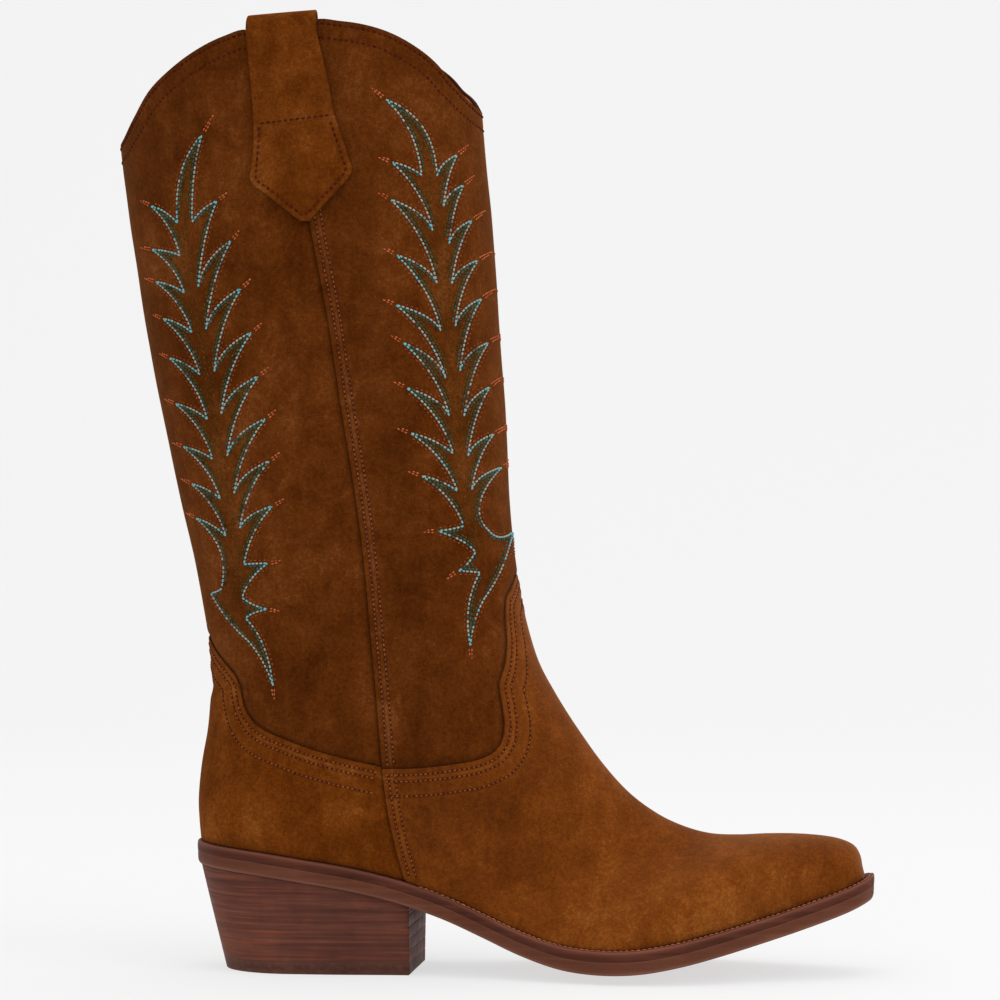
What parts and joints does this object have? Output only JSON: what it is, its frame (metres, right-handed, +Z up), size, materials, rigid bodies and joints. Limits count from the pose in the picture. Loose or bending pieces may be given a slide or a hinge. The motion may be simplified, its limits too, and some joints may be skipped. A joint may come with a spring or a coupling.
{
  "type": "cowboy boot",
  "caption": "Right-foot pull-on western boot: tall scalloped suede shaft, pointed toe, pull straps, welted leather sole and a stacked, underslung block heel.",
  "frame": {"origin": "middle of the bounding box at ground level", "axes": "+Z up, +X towards the toe, -Y towards the outer side of the foot"},
  "size_m": [0.3088, 0.0986, 0.3867],
  "materials": {
    "suede_front": "brushed suede nap",
    "suede_back": "brushed suede nap",
    "suede_vamp": "brushed suede nap",
    "suede_counter": "brushed suede nap",
    "lining_front": "smooth matt lining leather",
    "lining_back": "smooth matt lining leather",
    "lining_vamp": "smooth matt lining leather",
    "lining_counter": "smooth matt lining leather",
    "suede_strap_lateral": "brushed suede nap",
    "suede_strap_medial": "brushed suede nap",
    "toe_puff_board": "pressed fibre board",
    "stiffener_board": "pressed fibre board",
    "insole_fibre": "pressed fibre board",
    "sock_leather": "smooth matt lining leather",
    "shank_steel": "plain steel",
    "cork": "ground cork",
    "welt_leather": "burnished, waxed edge",
    "outsole_leather": "burnished, waxed edge",
    "heel_leather_wedge": "burnished, waxed edge",
    "heel_leather_1": "burnished, waxed edge",
    "heel_leather_2": "burnished, waxed edge",
    "heel_leather_3": "burnished, waxed edge",
    "heel_leather_4": "burnished, waxed edge",
    "heel_leather_5": "burnished, waxed edge",
    "top_lift_rubber": "satin",
    "nail_steel_1": "plain steel",
    "nail_steel_2": "plain steel",
    "nail_steel_3": "plain steel",
    "nail_steel_4": "plain steel",
    "nail_steel_5": "plain steel"
  },
  "bodies": {
    "root": {"front_shaft_panel": "suede_front", "back_shaft_panel": "suede_back", "vamp": "suede_vamp", "heel_counter_cover": "suede_counter", "front_shaft_lining": "lining_front", "back_shaft_lining": "lining_back", "vamp_lining": "lining_vamp", "counter_lining": "lining_counter", "pull_strap_lateral": "suede_strap_lateral", "pull_strap_medial": "suede_strap_medial", "toe_puff": "toe_puff_board", "heel_stiffener": "stiffener_board", "insole_board": "insole_fibre", "sock_liner": "sock_leather", "shank": "shank_steel", "cork_filler": "cork", "welt": "welt_leather", "outsole": "outsole_leather", "heel_wedge": "heel_leather_wedge", "heel_lift_1": "heel_leather_1", "heel_lift_2": "heel_leather_2", "heel_lift_3": "heel_leather_3", "heel_lift_4": "heel_leather_4", "heel_lift_5": "heel_leather_5", "top_lift": "top_lift_rubber", "heel_nail_1": "nail_steel_1", "heel_nail_2": "nail_steel_2", "heel_nail_3": "nail_steel_3", "heel_nail_4": "nail_steel_4", "heel_nail_5": "nail_steel_5"}
  },
  "joints": []
}
